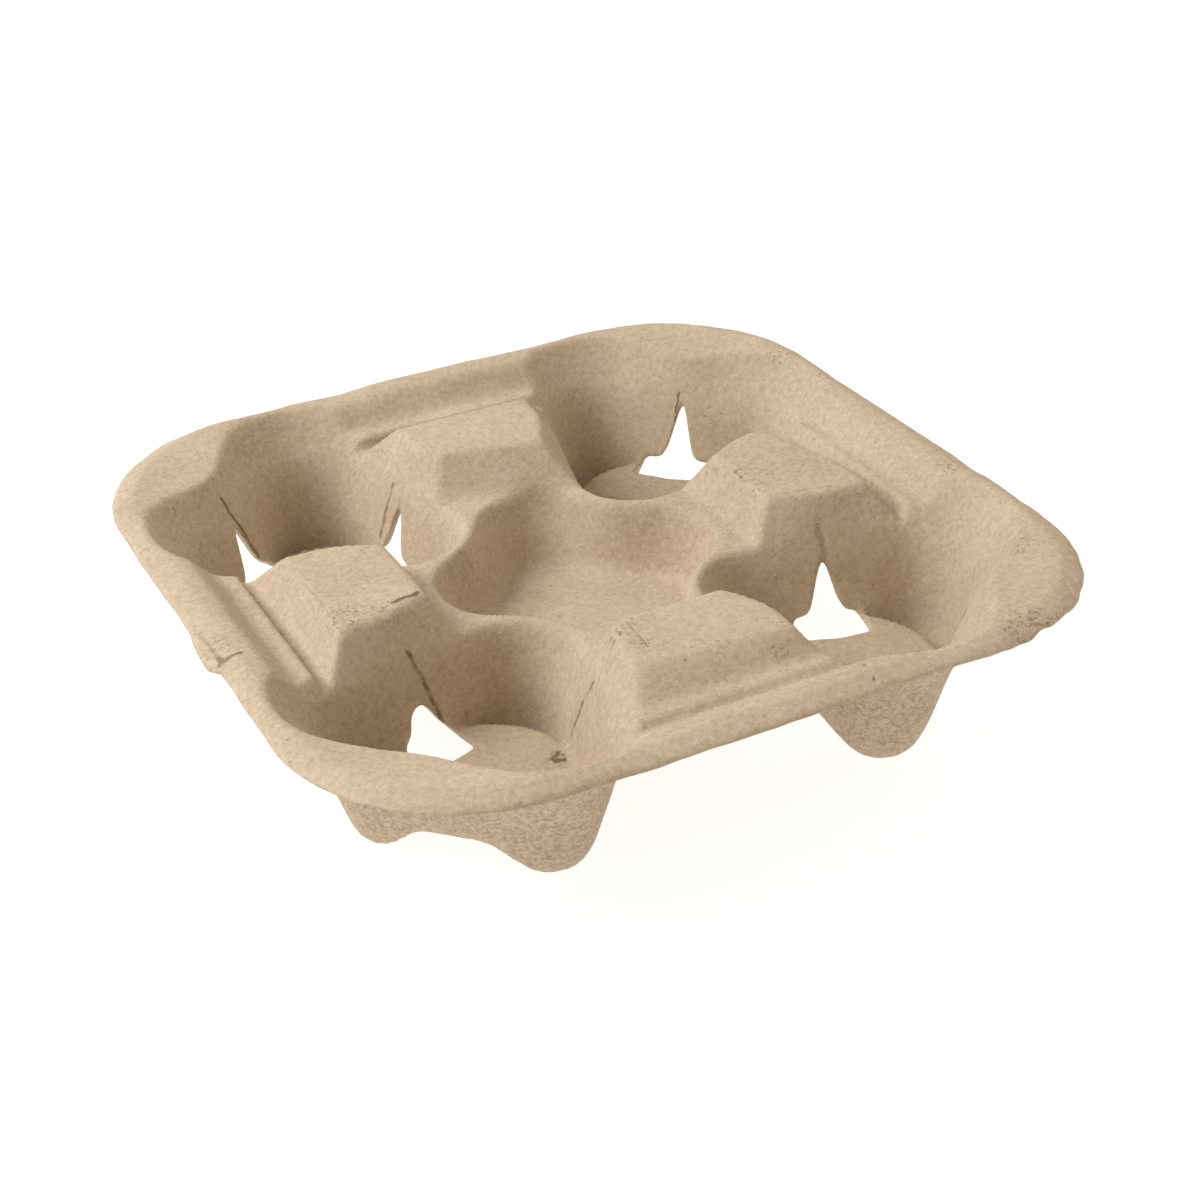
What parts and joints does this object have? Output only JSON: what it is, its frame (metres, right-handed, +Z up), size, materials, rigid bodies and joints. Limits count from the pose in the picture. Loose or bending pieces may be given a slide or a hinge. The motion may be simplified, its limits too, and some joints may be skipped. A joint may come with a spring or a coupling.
{
  "type": "cup carrier tray",
  "caption": "Square moulded-pulp carrier tray with tapered, slotted cup pockets on hollow feet, raised blocks between them and a middle recess.",
  "frame": {"origin": "middle of the underside, on the surface that the feet stand on", "axes": "+Z up through the middle of the tray; X and Y along its sides, and both are planes of symmetry"},
  "size_m": [0.21, 0.21, 0.044],
  "materials": {
    "pulp": "matte"
  },
  "bodies": {
    "root": {"tray": "pulp"}
  },
  "joints": []
}
